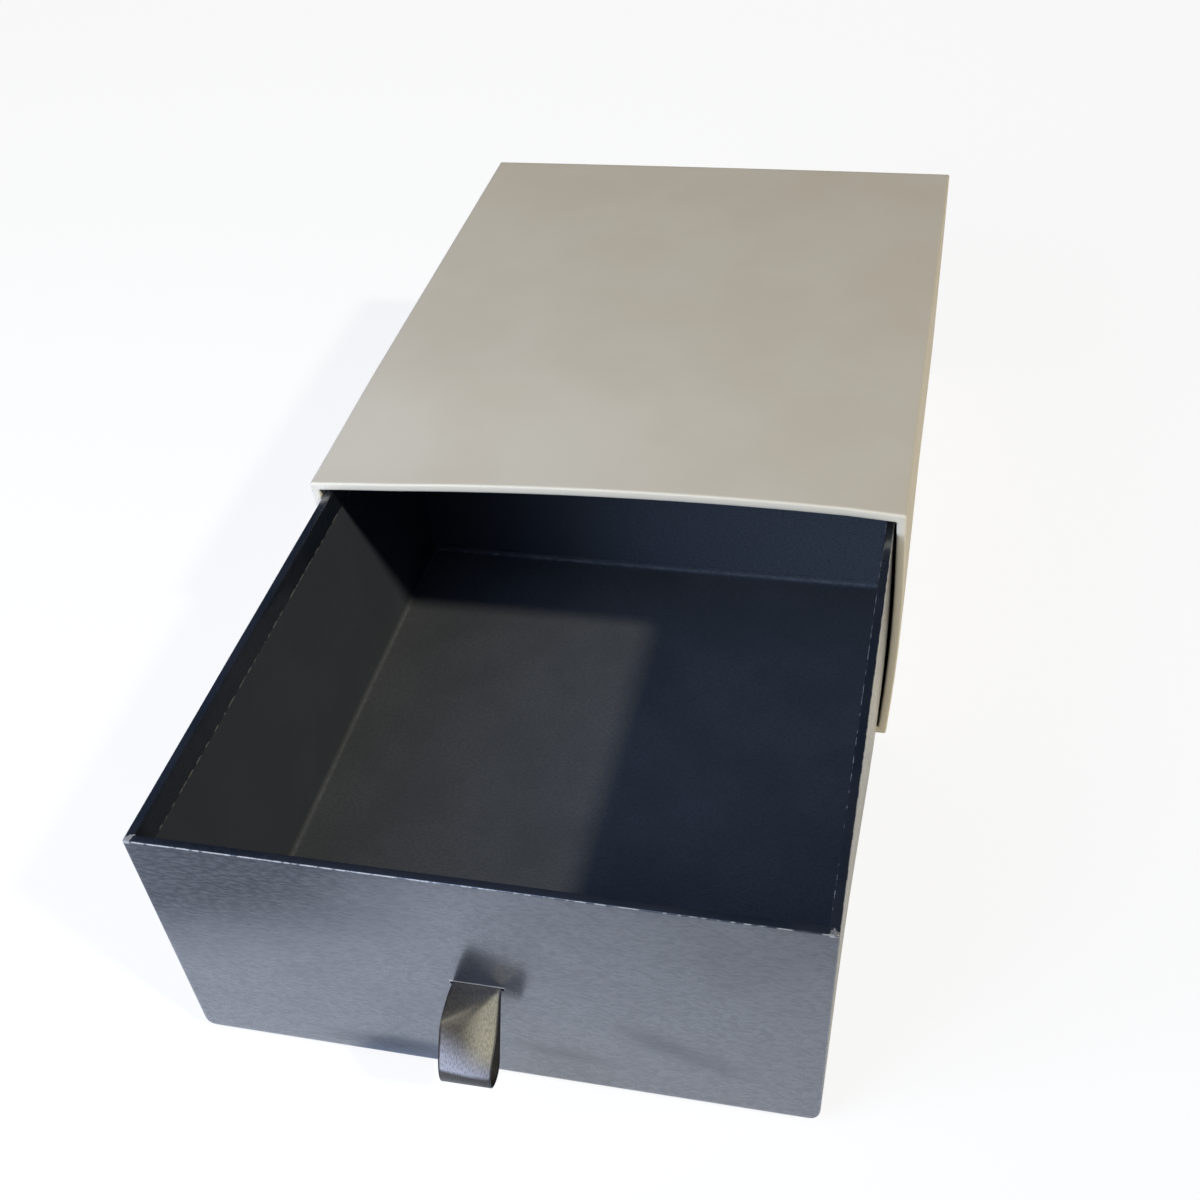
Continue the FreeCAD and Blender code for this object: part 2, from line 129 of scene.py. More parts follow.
def finish(piece, thickness=None, angle=38):
    # merges doubles, points the faces outwards and gives a sheet its thickness, inwards
    pick(piece, "FACE", lambda middle, normal: True)
    bpy.ops.mesh.remove_doubles(threshold=weld * mm)
    bpy.ops.mesh.normals_make_consistent(inside=False)
    bpy.ops.object.mode_set(mode="OBJECT")
    if thickness:
        sheet = piece.modifiers.new("thickness", "SOLIDIFY")
        sheet.thickness = thickness * mm
        sheet.offset = -1
        bpy.ops.object.modifier_apply(modifier=sheet.name)
    bpy.ops.object.shade_smooth_by_angle(angle=math.radians(angle))


def reshape(piece, move):
    # each corner goes where move() puts it, in millimetres
    bpy.ops.object.mode_set(mode="OBJECT")
    for corner in piece.data.vertices:
        corner.co = Vector(move(corner.co / mm)) * mm


def mark(piece, name, amount):
    # a value from 0 to 1 at each corner, for the material to read
    values = piece.data.attributes.new(name, "FLOAT", "POINT")
    for corner, value in zip(piece.data.vertices, values.data):
        value.value = amount(corner.co / mm)


def dress(piece, material):
    # one material all over
    piece.data.materials.clear()
    piece.data.materials.append(material)


def startMaterial(name):
    # an empty material, for nodes to be added to
    material = bpy.data.materials.new(name)
    material.use_nodes = True
    material.node_tree.nodes.clear()
    return material


soft = {"interpolation_type": "SMOOTHSTEP"}  # a range that eases in and out
colours = {"data_type": "RGBA", "output": 2}  # a mix of colours: inputs 0, 6 and 7, output 2


def addNode(material, kind, inputs=(), output=0, **settings):
    # one node, with its settings, and each input either linked or set, by its place or its name;
    # gives back the output that is asked for
    tree = material.node_tree
    node = tree.nodes.new("ShaderNode" + kind)
    for name, value in settings.items():
        setattr(node, name, value)
    for name, value in inputs.items() if isinstance(inputs, dict) else enumerate(inputs):
        if isinstance(value, bpy.types.NodeSocket):
            tree.links.new(value, node.inputs[name])
        else:
            node.inputs[name].default_value = value
    return node.outputs[output] if node.outputs else None


def scatter(material, place, size, detail=3.0, stretch=(1, 1, 1)):
    # soft random patches of about that size in millimetres
    stretched = addNode(material, "Mapping", {"Vector": place, "Scale": stretch})
    return addNode(material, "TexNoise",
                   {"Vector": stretched, "Scale": 1 / (size * mm), "Detail": detail}, "Fac")


def spot(material, place, centre, reach, tilt):
    # a soft-edged oval mark, 1 at its centre, its reach in millimetres
    moved = addNode(material, "Mapping",
                    {"Vector": place, "Location": [c * mm for c in centre],
                     "Rotation": (0, tilt, 0), "Scale": [r * mm for r in reach]},
                    vector_type="TEXTURE")
    ball = addNode(material, "TexGradient", [moved], "Fac", gradient_type="SPHERICAL")
    return addNode(material, "MapRange", [ball, 0.0, 1.0], **soft)


def close(material, look, surface, heights):
    # the surface with a bump for each height, its depth and strength under its name in the look
    surface["Roughness"], surface["Specular IOR Level"] = look["roughness"], look["specular"]
    for name, height in heights.items():
        inputs = {"Height": height, "Distance": look[name + "Depth"] * mm,
                  "Strength": look[name + "Strength"]}
        if "Normal" in surface:
            inputs["Normal"] = surface["Normal"]
        surface["Normal"] = addNode(material, "Bump", inputs)
    shader = addNode(material, "BsdfPrincipled", surface)
    addNode(material, "OutputMaterial", [shader])
    return material


def coatedPaper():
    # smooth dyed paper, calendered: an even, slightly cool taupe with a faint cloudiness, paler
    # where the fold over the mouth has been rubbed
    look = {"colour": "#c5bba7", "cloud": "#c2b7a2", "rubbed": "#cec5b0", "roughness": 0.55,
            "specular": 0.4, "cloudSize": 45.0, "cloudRange": (0.35, 0.65),
            "fibreSize": 0.5, "fibreStretch": (1, 0.45, 1), "fibreDepth": 0.02, "fibreStrength": 0.5}
    material = startMaterial("calendered_taupe_paper")
    place = addNode(material, "TexCoord", output="Object")
    rubbed = addNode(material, "Attribute", output="Fac", attribute_name="rubbed")
    clouds = scatter(material, place, look["cloudSize"])
    clouds = addNode(material, "MapRange", [clouds, *look["cloudRange"]], **soft)
    fibres = scatter(material, place, look["fibreSize"], stretch=look["fibreStretch"])
    colour = addNode(material, "Mix",
                     {0: clouds, 6: linear(look["colour"]), 7: linear(look["cloud"])}, **colours)
    colour = addNode(material, "Mix", {0: rubbed, 6: colour, 7: linear(look["rubbed"])}, **colours)
    return close(material, look, {"Base Color": colour}, {"fibre": fibres})


def leatherette():
    # paper embossed with a fine leather grain and lacquered: near-black navy that mirrors what is
    # in front of it, blurred; the lacquer is rubbed through to white paper on its folds, in
    # dashes, and dulled in random patches and in spots, where only the grain's ridges still shine.
    # Most spots are painted shade in the reflection, dulling the lacquer where what the front
    # mirrors is darker; a few of them are smudges
    look = {"colour": "#13181e", "worn": "#1b1e24", "core": "#82807b", "roughness": 0.4,
            "specular": 0.4, "coat": (1.0, 0.0), "coatIor": 2.08, "coatRoughness": (0.17, 0.34),
            "wrinkle": 0.8, "wrinkleStretch": (0.42, 0.42, 1.0),
            "wrinkleShine": (0.36, 0.6, 0.78, 1.0), "wrinkleDepth": 0.26, "wrinkleStrength": 0.6,
            "ridge": 0.85, "ridgeStretch": (0.28, 0.28, 1.0), "ridgeRange": (0.42, 0.64),
            "ridgeShine": (0.2, 1.0, 0.0, 0.22),
            "grain": 0.4, "grainStretch": (0.6, 0.6, 1.0), "grainDepth": 0.1, "grainStrength": 0.5,
            "dash": 3.0, "dashRange": (0.36, 0.6, 0.52, 1.0), "fleckRange": (0.55, 0.75),
            "patch": 26.0, "patchRange": (0.38, 0.64), "patchDulling": 0.14, "dulledMost": 1.1}
    # spots where the lacquer is dulled, mostly painted shade in the front's reflection and a few
    # smudges, each with its centre, reach, tilt and strength
    smudgesAndShadeSpots = [((57, -298, 30), (30, 8, 9), 0.42, 0.42), ((-104, -298, 102), (125, 12, 72), 0.0, 1.6),
             ((90, -298, 98), (130, 12, 48), 0.0, 0.35), ((-33, -298, 10), (36, 8, 7), 0.0, 0.5),
             ((22, -298, 19), (28, 8, 5), 0.1, 0.3), ((-75, -298, 25), (95, 12, 50), 0.0, 0.2),
             ((45, -298, 68), (75, 12, 42), 0.0, 0.14)]
    material = startMaterial("lacquered_grained_leatherette")
    place = addNode(material, "TexCoord", output="Object")
    rubbed = addNode(material, "Attribute", output="Fac", attribute_name="rubbed")
    wrinkles = scatter(material, place, look["wrinkle"], 5.0, look["wrinkleStretch"])
    grain = scatter(material, place, look["grain"], stretch=look["grainStretch"])
    patches = scatter(material, place, look["patch"])
    patches = addNode(material, "MapRange", [patches, *look["patchRange"]], **soft)
    dashes = scatter(material, place, look["dash"])
    dashes = addNode(material, "MapRange", [dashes, *look["dashRange"]], **soft)
    flecks = addNode(material, "Math", [rubbed, dashes], operation="MULTIPLY")
    flecks = addNode(material, "MapRange", [flecks, *look["fleckRange"]], **soft)
    dulledAndShaded = addNode(material, "Math", [patches, look["patchDulling"]], operation="MULTIPLY")
    # each spot dulls the lacquer further: most are painted shade in the reflection, a few are smudges
    for centre, reach, tilt, strength in smudgesAndShadeSpots:
        smudgeAndShadeSpot = spot(material, place, centre, reach, tilt)
        smudgeAndShadeSpot = addNode(material, "Math", [smudgeAndShadeSpot, strength], operation="MULTIPLY")
        dulledAndShaded = addNode(material, "Math", [dulledAndShaded, smudgeAndShadeSpot], operation="ADD")
    colour = addNode(material, "Mix",
                     {0: patches, 6: linear(look["colour"]), 7: linear(look["worn"])}, **colours)
    colour = addNode(material, "Mix", {0: flecks, 6: colour, 7: linear(look["core"])}, **colours)
    coatRoughness = addNode(material, "MapRange", [dulledAndShaded, 0.0, 1.0, *look["coatRoughness"]], **soft)
    polished = addNode(material, "MapRange", [dulledAndShaded, 0.0, look["dulledMost"], *look["coat"]], **soft)
    shine = addNode(material, "MapRange", [wrinkles, *look["wrinkleShine"]], **soft)
    coat = addNode(material, "Math", [polished, shine], operation="MULTIPLY")
    ridges = scatter(material, place, look["ridge"], 4.0, look["ridgeStretch"])
    ridges = addNode(material, "MapRange", [ridges, *look["ridgeRange"]], **soft)
    ridgeShine = addNode(material, "MapRange", [dulledAndShaded, *look["ridgeShine"]], **soft)
    ridges = addNode(material, "Math", [ridges, ridgeShine], operation="MULTIPLY")
    coat = addNode(material, "Math", [coat, ridges], operation="ADD")
    return close(material, look,
                 {"Base Color": colour, "Coat Weight": coat, "Coat IOR": look["coatIor"],
                  "Coat Roughness": coatRoughness}, {"wrinkle": wrinkles, "grain": grain})


def blackPaper(name, colour, cloud, crease):
    # uncoated black paper, glued down: a soft dark grey with fine fibres, greyer where it is
    # creased along the folds, and paler and bluer where a mask paints light on it: painted light
    # on the right of the drawer's back wall, where cool light falls
    look = {"colour": colour, "cloud": cloud, "crease": crease, "fibre": "#2f3136",
            "paintedLight": "#4e545d", "roughness": 0.72, "specular": 0.4,
            "cloudSize": 30.0, "cloudRange": (0.35, 0.65), "scuffSize": 2.4,
            "scuffRange": (0.42, 0.66, 0.1, 0.9), "fibreSize": 0.45, "fibreStretch": (0.35, 1, 1),
            "fibreRange": (0.4, 0.62, 0.0, 0.5), "fibreDepth": 0.06, "fibreStrength": 0.5}
    material = startMaterial(name)
    place = addNode(material, "TexCoord", output="Object")
    creased = addNode(material, "Attribute", output="Fac", attribute_name="rubbed")
    paintedLight = addNode(material, "Attribute", output="Fac", attribute_name="paintedLight")
    clouds = scatter(material, place, look["cloudSize"])
    clouds = addNode(material, "MapRange", [clouds, *look["cloudRange"]], **soft)
    fibres = scatter(material, place, look["fibreSize"], 4.0, look["fibreStretch"])
    showing = addNode(material, "MapRange", [fibres, *look["fibreRange"]], **soft)
    scuffs = scatter(material, place, look["scuffSize"])
    scuffs = addNode(material, "MapRange", [scuffs, *look["scuffRange"]], **soft)
    scuffs = addNode(material, "Math", [creased, scuffs], operation="MULTIPLY")
    colour = addNode(material, "Mix",
                     {0: clouds, 6: linear(look["colour"]), 7: linear(look["cloud"])}, **colours)
    # the paler, bluer mix is painted light on the back wall
    for share, name in ((paintedLight, "paintedLight"), (showing, "fibre"), (scuffs, "crease")):
        colour = addNode(material, "Mix", {0: share, 6: colour, 7: linear(look[name])}, **colours)
    return close(material, look, {"Base Color": colour}, {"fibre": fibres})


def greyBoard():
    # recycled board, couched in plies and left raw: grey-brown with darker flecks of fibre
    look = {"colour": "#8d877c", "fleck": "#6d675e", "roughness": 0.88, "specular": 0.5,
            "fleckSize": 0.9, "fleckRange": (0.52, 0.68), "plySize": 0.4, "plyDepth": 0.05,
            "plyStrength": 0.6}
    material = startMaterial("recycled_greyboard")
    place = addNode(material, "TexCoord", output="Object")
    flecks = scatter(material, place, look["fleckSize"], 4.0)
    flecks = addNode(material, "MapRange", [flecks, *look["fleckRange"]], **soft)
    plies = scatter(material, place, look["plySize"], 2.0)
    colour = addNode(material, "Mix",
                     {0: flecks, 6: linear(look["colour"]), 7: linear(look["fleck"])}, **colours)
    return close(material, look, {"Base Color": colour}, {"ply": plies})


def kraftPaper():
    # brown kraft paper, gummed and pressed down: fine lengthwise fibres
    look = {"colour": "#a37f58", "fibre": "#8c6a46", "roughness": 0.7, "specular": 0.5,
            "fibreSize": 0.7, "fibreStretch": (1, 0.3, 1), "fibreRange": (0.4, 0.62),
            "fibreDepth": 0.03, "fibreStrength": 0.5}
    material = startMaterial("gummed_kraft_paper")
    place = addNode(material, "TexCoord", output="Object")
    fibres = scatter(material, place, look["fibreSize"], 4.0, look["fibreStretch"])
    showing = addNode(material, "MapRange", [fibres, *look["fibreRange"]], **soft)
    colour = addNode(material, "Mix",
                     {0: showing, 6: linear(look["colour"]), 7: linear(look["fibre"])}, **colours)
    return close(material, look, {"Base Color": colour}, {"fibre": fibres})


def satinRibbon():
    # double-faced satin, woven with its floats along the ribbon: dark umber with a long soft
    # sheen, with a painted sheen, pale olive, where it faces up towards the light, and a painted
    # reflection of the floor, violet-grey, where it turns at the foot of the loop; its
    # picks are 0.2 mm apart, and drawn 0.35 mm apart so that they show
    look = {"colour": "#1b1916", "float": "#36312a", "paintedSheen": "#847d69", "turned": "#9697a1",
            "edge": "#101012", "roughness": 0.5, "specular": 0.35, "coatWeight": 0.35,
            "coatRoughness": 0.42, "coatIor": 1.6, "length": 145.0, "width": 15.0,
            "pick": 0.34575, "pickDepth": 0.06, "pickStrength": 0.5, "pickWander": 0.6,
            "floatStretch": (3.2, 0.9, 1), "floatRange": (0.38, 0.66), "floatDepth": 0.05,
            "floatStrength": 0.3, "mottle": (0.32, 0.62, 0.5, 1.0), "selvedge": (0.455, 0.485),
            "turnedSlant": -0.06, "turnedFrom": (0.325, 0.42), "turnedTo": (0.446, 0.434),
            "paintedSheenSlant": 0.13, "paintedSheenFrom": (0.375, 0.395), "paintedSheenTo": (0.446, 0.39),
            "paintedSheenAcross": (0.3, 0.8)}
    material = startMaterial("woven_satin_ribbon")
    weft = addNode(material, "UVMap", uv_map="UVMap")
    along = addNode(material, "Mapping",
                    {"Vector": weft, "Scale": (look["width"], look["length"], 1)})
    picks = addNode(material, "TexWave",
                    {"Vector": along, "Scale": math.pi / 10 / look["pick"],
                     "Distortion": look["pickWander"], "Detail": 1.0, "Detail Scale": 2.0},
                    "Fac", wave_type="BANDS", bands_direction="Y")
    stretched = addNode(material, "Mapping", {"Vector": along, "Scale": look["floatStretch"]})
    floats = addNode(material, "TexNoise", {"Vector": stretched, "Scale": 1.0, "Detail": 3.0}, "Fac")
    across = addNode(material, "SeparateXYZ", [weft], "X")
    length = addNode(material, "SeparateXYZ", [weft], "Y")

    def sloping(slant, start, end):
        # from start on along the ribbon, slanting across it, and fading out before the slit
        slope = addNode(material, "Math", [across, slant], operation="MULTIPLY")
        slope = addNode(material, "Math", [length, slope], operation="ADD")
        slope = addNode(material, "MapRange", [slope, *start], **soft)
        fading = addNode(material, "MapRange", [length, *end], **soft)
        return addNode(material, "Math", [slope, fading], operation="MULTIPLY")

    floating = addNode(material, "MapRange", [floats, *look["floatRange"]], **soft)
    mottled = addNode(material, "MapRange", [floats, *look["mottle"]], **soft)
    fromMiddle = addNode(material, "Math", [across, 0.5], operation="SUBTRACT")
    fromMiddle = addNode(material, "Math", [fromMiddle], operation="ABSOLUTE")
    selvedge = addNode(material, "MapRange", [fromMiddle, *look["selvedge"]], **soft)
    # painted reflection: the foot of the loop made violet-grey like the floor it mirrors, broken up
    # by the mottling
    turned = sloping(look["turnedSlant"], look["turnedFrom"], look["turnedTo"])
    turned = addNode(material, "Math", [turned, mottled], operation="MULTIPLY")
    # painted sheen: the upper right of the loop made pale olive where it catches the light, broken up
    # by the mottling
    paintedSheen = sloping(look["paintedSheenSlant"], look["paintedSheenFrom"], look["paintedSheenTo"])
    toRight = addNode(material, "MapRange", [across, *look["paintedSheenAcross"]], **soft)
    paintedSheen = addNode(material, "Math", [paintedSheen, toRight], operation="MULTIPLY")
    paintedSheen = addNode(material, "Math", [paintedSheen, mottled], operation="MULTIPLY")
    colour = linear(look["colour"])
    for share, name in ((floating, "float"), (paintedSheen, "paintedSheen"), (turned, "turned"),
                        (selvedge, "edge")):
        colour = addNode(material, "Mix", {0: share, 6: colour, 7: linear(look[name])}, **colours)
    return close(material, look,
                 {"Base Color": colour, "Coat Weight": look["coatWeight"],
                  "Coat Roughness": look["coatRoughness"], "Coat IOR": look["coatIor"]},
                 {"pick": picks, "float": floats})


# one black paper in two copies: the darker copy on the upright walls is painted shade, as the walls
# look darker than the floor in this light
lyingPaper = ("uncoated_black_paper", "#44474b", "#3e4145", "#5a5e64")
shadedUprightPaper = ("uncoated_black_paper_upright_shaded", "#32373f", "#2e333b", "#3f4348")
materials = {"cover_paper": coatedPaper(), "leatherette": leatherette(),
             "black_lining": blackPaper(*lyingPaper), "greyboard": greyBoard(),
             "stay_tape": kraftPaper(), "ribbon": satinRibbon()}
materials["sleeve_lining"] = materials["cover_paper"]
materials["patch_paper"] = materials["stay_tape"]
materials["black_wall"] = blackPaper(*shadedUprightPaper)
for part in frame["record"]["subparts"]:
    dress(nodes[part["node"]], materials[part["material_slot"]])
print("materials made")


# the sleeve, its mouth at the front and its back closed
sleeve = {
    "half": 105.0, "mouth": -128.0, "back": 127.85, "height": 102.0, "length": 256.0,
    "wall": 3.24, "paper": 0.15, "turnIn": 15.0, "lap": 15.0, "fold": 0.7, "lipFold": 0.8,
    "mouthCrown": 4.0, "backCrown": 0.3, "crownFrom": (96.5, 98.7),
    "sideBow": 1.6, "bowFrom": (96, 101.5), "bowEbbs": ((0.5, -125, 20), (0.35, 70, 126)),
    "slump": (-1.2, -2.9, -2.8), "slumpRun": 75.0, "slumpAcross": (85, 160),
    "lipEnd": (0.25, 1.6), "seamRub": 0.25, "foldCuts": (90, 102.2, 103.2), "lipCuts": (1.2, 2.2),
    "roofCuts": (96.5, 100.2), "lapCut": 1.8, "slumpCuts": 80,
    "backSheet": ((-102.4, 127.86, 2.6), (102.4, 128.0, 99.4)),
    "board": (102.13, 104.63), "boardEnds": 127.63, "boardFoot": 2.87, "boardTop": 99.13,
    "roofTop": 101.63, "lining": 101.91, "liningFoot": 3.09, "liningBack": 124.9}


def crownAndBow(corner):
    # the roof rises to the middle of the mouth, the right wall bellies out, and the mouth has
    # slumped forwards and down at its left
    x, y, z = corner
    half, mouth = sleeve["half"], sleeve["mouth"]
    share = min(max((y - mouth) / sleeve["length"], 0.0), 1.0)
    crown = sleeve["mouthCrown"] + (sleeve["backCrown"] - sleeve["mouthCrown"]) * share
    radius = (half ** 2 + crown ** 2) / (2 * crown)
    rise = crown - radius + math.sqrt(radius ** 2 - min(abs(x), half) ** 2)
    lift = smooth(*sleeve["crownFrom"], z) * rise
    along = 1
    for ebb, start, end in sleeve["bowEbbs"]:
        along -= ebb * smooth(start, end, y)
    bow = sleeve["sideBow"] * math.sin(math.pi * min(max(z / sleeve["height"], 0), 1)) * along
    start, run = sleeve["slumpAcross"]
    slump = min(max((start - x) / run, 0), 1) * z / sleeve["height"]
    slump = slump * (1 - smooth(mouth, mouth + sleeve["slumpRun"], y))
    aside, forwards, down = (slump * most for most in sleeve["slump"])
    return x + bow * smooth(*sleeve["bowFrom"], x) + aside, y + forwards, z + lift + down


def steps(low, high, count):
    # the cuts that part a length evenly
    return [low + (high - low) * i / count for i in range(1, count)]


def sleeveCover():
    half, mouth, back, height = (sleeve[key] for key in ("half", "mouth", "back", "height"))
    lap, slumped, lapCut = sleeve["lap"], mouth + sleeve["slumpCuts"], sleeve["lapCut"]
    lipCuts = [mouth + y for y in sleeve["lipCuts"]]
    foldCuts = [side * x for side in (-1, 1) for x in sleeve["foldCuts"]]
    piece = startBox("sleeve_cover_sheet", (-half, mouth, 0), (half, back, height))
    pick(piece, "FACE", lambda middle, normal: normal.y < -facing)
    bpy.ops.mesh.delete(type="FACE")
    roundEdges(piece, sleeve["fold"], lambda middle, run: middle.y > mouth + 1)
    foldIn(piece, lambda middle, run: middle.y < mouth + touch and abs(run.y) < touch,
           sleeve["wall"], (half, None, height / 2), (0, mouth, height / 2),
           (0, sleeve["turnIn"], 0))

    def lipEdge(middle, run):
        squareRun = max(abs(run.x), abs(run.z)) > 60 or run.length < arcEdge
        return middle.y < mouth + touch and abs(run.y) < touch and squareRun

    roundEdges(piece, sleeve["lipFold"], lipEdge)
    cutAcross(piece, 0, steps(-98, 98, 16) + foldCuts)
    cutAcross(piece, 1, steps(mouth, slumped, 9) + steps(slumped, back, 11)
              + [slumped, back - lap, *lipCuts, back - lapCut])
    cutAcross(piece, 2, steps(0, height, 10) + [lap, height - lap, *sleeve["roofCuts"], lapCut])
    # the cover only laps round under the base and on to the back
    pick(piece, "FACE", lambda middle, normal: normal.z < -facing and middle.z < touch
         and abs(middle.x) < half - lap and middle.y > lipCuts[0])
    bpy.ops.mesh.delete(type="FACE")
    pick(piece, "FACE", lambda middle, normal: normal.y > facing and middle.y > back - touch
         and abs(middle.x) < half - lap and lap < middle.z < height - lap)
    bpy.ops.mesh.delete(type="FACE")

    def worn(corner):
        start, end = sleeve["lipEnd"]
        lip = 1 - smooth(mouth + start, mouth + end, corner.y)
        aside, up = max(abs(corner.x) - (half - 0.5), 0), max(corner.z - (height - 0.5), 0)
        return max(lip, sleeve["seamRub"] if aside * up > 0.01 else 0.0)

    bpy.ops.object.mode_set(mode="OBJECT")
    mark(piece, "rubbed", worn)
    reshape(piece, crownAndBow)
    finish(piece, sleeve["paper"])
    dress(piece, materials["cover_paper"])
    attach(piece, "sleeve")
    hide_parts("sleeve_cover_paper")


def sleeveBackSheet():
    piece = startBox("sleeve_back_sheet", *sleeve["backSheet"])
    finish(piece)
    dress(piece, materials["cover_paper"])
    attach(piece, "sleeve")
    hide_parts("sleeve_back_paper")


def sleeveBoard(name, node, low, high):
    # a board under the cover, bent with it
    piece = startBox(name, low, high)
    ends = sleeve["boardEnds"]
    cutAcross(piece, 1, steps(-ends, -48, 9) + steps(-49, ends, 9))
    if high[0] - low[0] > high[2] - low[2]:
        cutAcross(piece, 0, steps(low[0], high[0], 16))
    else:
        cutAcross(piece, 2, steps(low[2], high[2], 8))
    reshape(piece, crownAndBow)
    finish(piece)
    dress(piece, materials["greyboard"])
    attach(piece, "sleeve")
    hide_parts(node)


def sleeveBoards():
    ends, foot, top, roof = (sleeve[key] for key in ("boardEnds", "boardFoot", "boardTop", "roofTop"))
    low, high = sleeve["board"]
    sleeveBoard("sleeve_side_board", "sleeve_right_board", (low, -ends, foot), (high, ends, top))
    sleeveBoard("sleeve_left_board_slumped", "sleeve_left_board",
                (-high, -ends, foot), (-low, ends, top))
    sleeveBoard("sleeve_top_board_slumped", "sleeve_top_board",
                (-high, -ends, top), (high, ends, roof))


def sleeveLining():
    side, foot, back = sleeve["lining"], sleeve["liningFoot"], sleeve["liningBack"]
    front = sleeve["mouth"] + sleeve["turnIn"] + 0.05
    top = sleeve["height"] - foot
    piece = startBox("sleeve_lining_sheet", (-side, front, foot), (side, back, top))
    pick(piece, "FACE", lambda middle, normal: abs(normal.y) > facing)
    bpy.ops.mesh.delete(type="FACE")
    roundEdges(piece, 1.0, lambda middle, run: abs(run.y) > 100)
    cutAcross(piece, 0, steps(-98, 98, 12))
    cutAcross(piece, 1, steps(front, front + 64, 7) + steps(front + 63.9, back, 9))
    cutAcross(piece, 2, steps(foot, top, 8) + [sleeve["roofCuts"][0]])
    reshape(piece, crownAndBow)
    finish(piece, sleeve["paper"])
    dress(piece, materials["sleeve_lining"])
    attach(piece, "sleeve")
    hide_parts("sleeve_lining")


sleeveCover()
sleeveBackSheet()
sleeveBoards()
sleeveLining()
print("sleeve wrapped and lined")


# the drawer, as it stands out of the sleeve
drawer = {
    "half": 101.26, "front": -298.0, "back": -45.74, "foot": 3.54, "top": 95.26, "rim": 2.94,
    "skin": 0.25, "turnIn": 9.5, "corner": 0.8, "rimFold": 0.55, "wander": 0.22, "wanderSize": 37,
    "wanderFrom": (92, 94.5), "wanderSeed": 4.2, "cutsUp": (20, 34, 62, 76, 88, 92),
    "sideBow": 1.0, "bowFrom": (100.2, 100.9), "bowStart": (-298, -190), "bowEnd": (-110, -50),
    "knock": 5.0, "knockEbb": (4, 60), "knockCuts": (1.8, 2.5, 3.3, 4.1, 5.0, 6.0),
    "knockRun": (4, 10, 18, 30, 45, 60),
    "lean": (0.7, 1.9), "leanFrom": (88, 97), "leanEbb": (-240, -122),
    "leanCuts": (-238, -218, -198, -178, -158, -140, -123),
    "baseHalf": 86.3, "baseEnds": (-283.0, -60.74),
    "slitX": (-10.25, 6.25), "slitZ": (47.94, 49.14), "slitFray": 0.35, "slitDepth": 1.6,
    "board": {"depth": 0.47, "corner": 0.45}, "tape": {"depth": 0.32, "corner": 0.6, "thick": 0.08}}
rubbing = {
    "near": 0.4,  # what is nearer than this to a fold is rubbed with it
    "rimCorners": 0.72, "overlap": (0.7, 3.2),  # where the wrap overlaps itself: down and inwards
    "outerFold": (0.97, 0.22, -60, 50),  # of the front's rim: the most, and how it falls to the right
    "outerFoldElsewhere": 0.86, "innerFold": 0.56, "innerFoldRight": 0.74,
    "lapEdge": 0.8,  # the cut edge of the turned-in lap
    "slitTop": 2.0}  # frayed by the ribbon


def bellied(corner):
    # the outside of the right wall bellies a little at the mouth and the rim isn't quite straight
    x, y, z = corner
    foot, top, size = drawer["foot"], drawer["top"], drawer["wanderSize"]
    along = smooth(*drawer["bowStart"], y) * (1 - smooth(*drawer["bowEnd"], y))
    height = math.sin(math.pi * min(max((z - foot) / (top - foot), 0), 1))
    x += drawer["sideBow"] * along * height * smooth(*drawer["bowFrom"], x)
    wander = noise.noise(Vector((x / size, y / size, drawer["wanderSeed"])))
    return x, y, z + drawer["wander"] * wander * smooth(*drawer["wanderFrom"], z)


def knocked(corner, depth=0.0):
    # the bottom corners at the front are knocked round, the skin's or those at a depth below it
    x, y, z = corner
    radius = drawer["knock"]
    side, low = radius - (drawer["half"] - abs(x)), radius - (z - drawer["foot"])
    near = 1 - smooth(*drawer["knockEbb"], y - drawer["front"])
    away = math.hypot(side, low)
    if side > 0 and low > 0 and away > radius - depth:
        pull = (1 - (radius - depth) / away) * near
        x -= math.copysign(side * pull, x)
        z += low * pull
    return Vector((x, y, z))


def leaned(corner):
    # the side walls stand closer at the base than at the rim, towards the front
    x, y, z = corner
    height = min(max((z - drawer["foot"]) / (drawer["top"] - drawer["foot"]), 0), 1)
    lean = drawer["lean"][x > 0] * (1 - height) * (1 - smooth(*drawer["leanEbb"], y))
    return x - math.copysign(lean * smooth(*drawer["leanFrom"], abs(x)), x), y, z


def cutForKnock(piece):
    # corners for the knocked part to bend at
    half, front, foot = drawer["half"], drawer["front"], drawer["foot"]
    cutAcross(piece, 0, [side * (half - d) for side in (-1, 1) for d in drawer["knockCuts"]])
    cutAcross(piece, 1, [front + d for d in drawer["knockRun"]])
    cutAcross(piece, 2, [foot + d for d in drawer["knockCuts"]])


